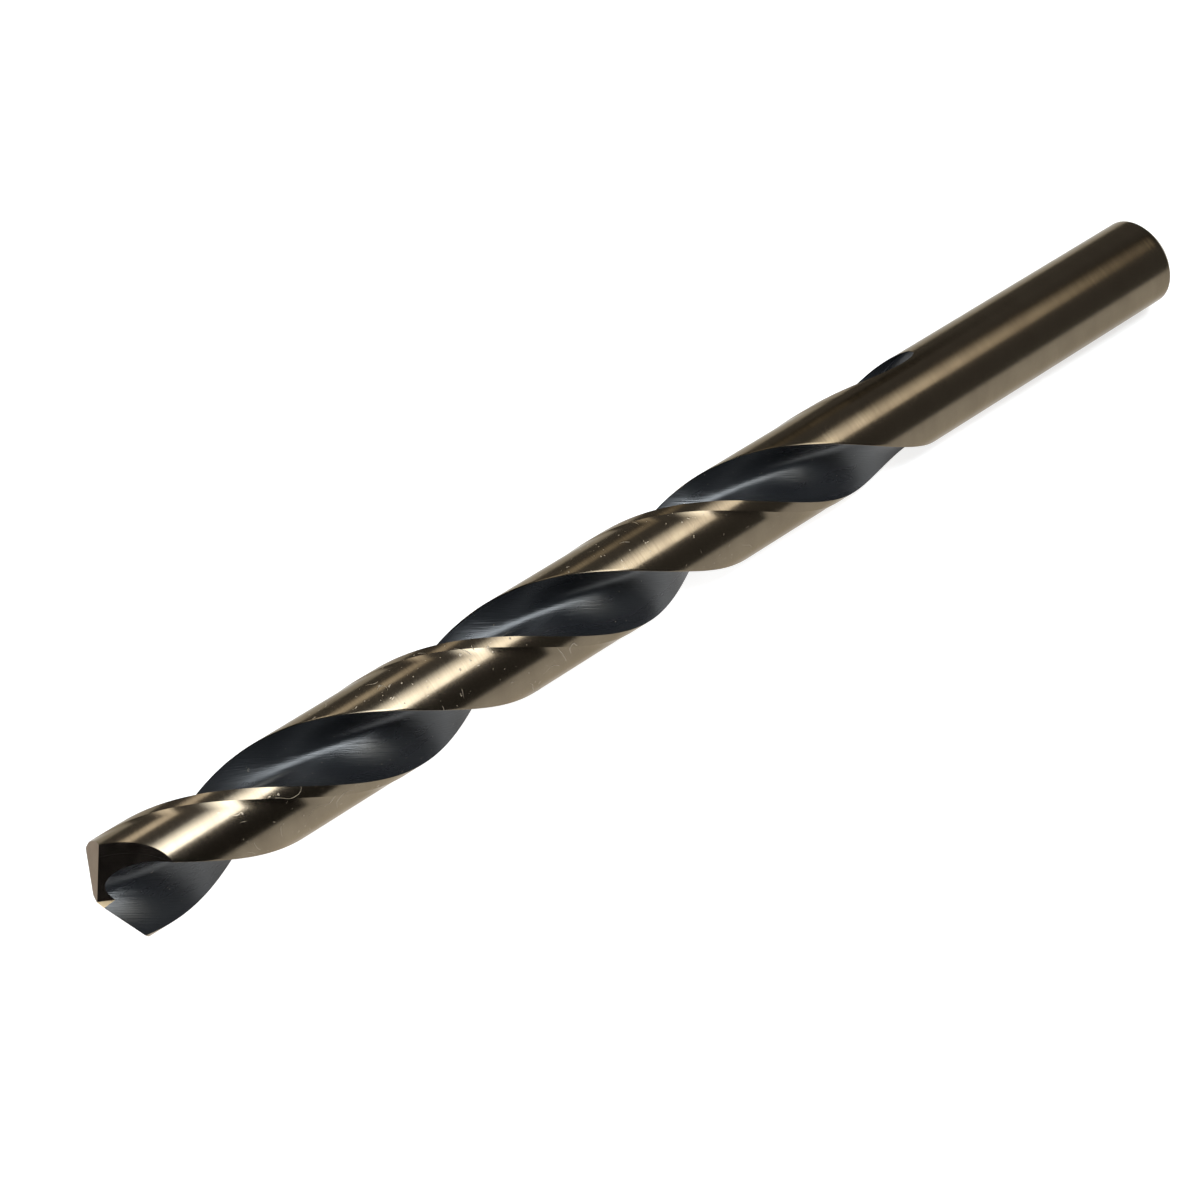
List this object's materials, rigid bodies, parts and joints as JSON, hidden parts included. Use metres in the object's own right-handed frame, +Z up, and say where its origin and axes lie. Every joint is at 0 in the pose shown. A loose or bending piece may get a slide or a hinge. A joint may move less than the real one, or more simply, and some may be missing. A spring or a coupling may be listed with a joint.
{
  "type": "twist drill bit",
  "caption": "Jobber-length twist drill bit with a plain round shank, right-hand helical flutes, narrow margins and a split 135 degree point, bronze finish with blue-black flutes.",
  "frame": {"origin": "centre of the flat end face of the shank", "axes": "+X along the drill's axis from the shank end towards the point; +Z up with the drill lying on its side; Y completes a right-handed set"},
  "size_m": [0.127, 0.0096, 0.0096],
  "materials": {
    "bronze_shank": "high-speed steel with a bronze oxide tint, satin, turned round the axis",
    "black_flutes": "high-speed steel with a blue-black steam oxide, fine grinding lines along the flute",
    "bronze_lands": "high-speed steel with a bronze oxide tint, cylindrically ground, fairly glossy",
    "ground_point": "high-speed steel, flat ground facets with a bronze tint"
  },
  "bodies": {
    "root": {"shank": "bronze_shank", "fluted_core": "black_flutes", "land_a": "bronze_lands", "land_b": "bronze_lands", "margin_a": "bronze_lands", "margin_b": "bronze_lands", "lip_a": "ground_point", "lip_b": "ground_point"}
  },
  "joints": []
}
